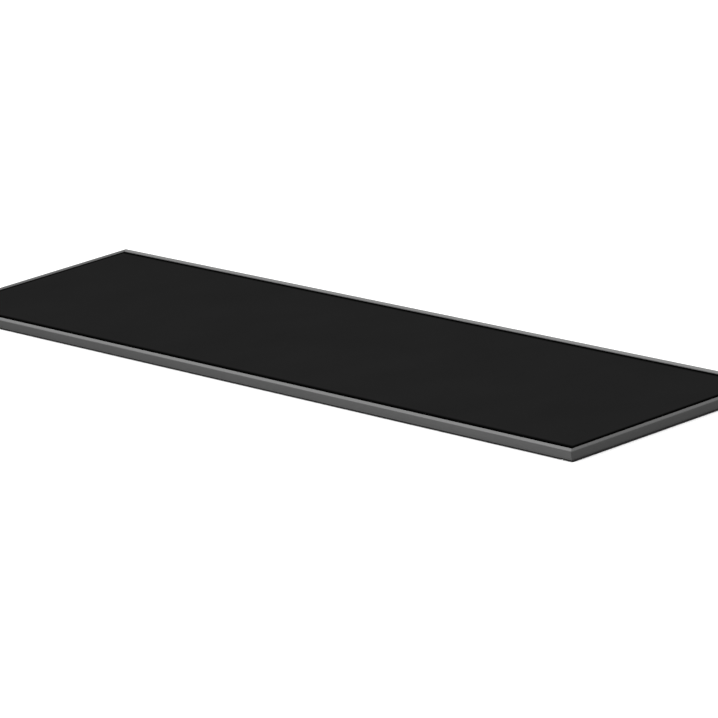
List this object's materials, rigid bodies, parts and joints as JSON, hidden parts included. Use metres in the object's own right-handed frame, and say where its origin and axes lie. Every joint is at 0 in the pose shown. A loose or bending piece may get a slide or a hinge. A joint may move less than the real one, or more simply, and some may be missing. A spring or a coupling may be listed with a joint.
{
  "type": "kick plate",
  "caption": "Long flat door kick plate: matt black face sheet set flush in a slim mitred grey metal frame behind a narrow shadow gap, with foam tape and release liners on the back.",
  "frame": {"origin": "centre of the back, on the plane of the liners' undersides, which is the side that meets the door", "axes": "+X across the door along the plate's length, +Y up the door, +Z out of the door, so the face looks along +Z"},
  "size_m": [0.8636, 0.2032, 0.0088],
  "materials": {
    "face": "dead matt black, fine grain",
    "core": "solid dark polymer core board",
    "back": "mill-finish sheet",
    "frame": "graphite anodised, satin, drawn along its length, black inside the shadow gap",
    "key": "zinc-plated pressed steel",
    "tape": "closed-cell foam, matt",
    "liner": "smoke-coloured release film, satin"
  },
  "bodies": {
    "root": {"face_sheet": "face", "core_board": "core", "back_sheet": "back", "bottom_rail": "frame", "top_rail": "frame", "left_rail": "frame", "right_rail": "frame", "corner_key_bottom_left": "key", "corner_key_bottom_right": "key", "corner_key_top_left": "key", "corner_key_top_right": "key", "tape_bottom": "tape", "tape_top": "tape", "tape_left": "tape", "tape_right": "tape", "tape_cross_1": "tape", "tape_cross_2": "tape", "tape_cross_3": "tape", "liner_bottom": "liner", "liner_top": "liner", "liner_left": "liner", "liner_right": "liner", "liner_cross_1": "liner", "liner_cross_2": "liner", "liner_cross_3": "liner"}
  },
  "joints": []
}
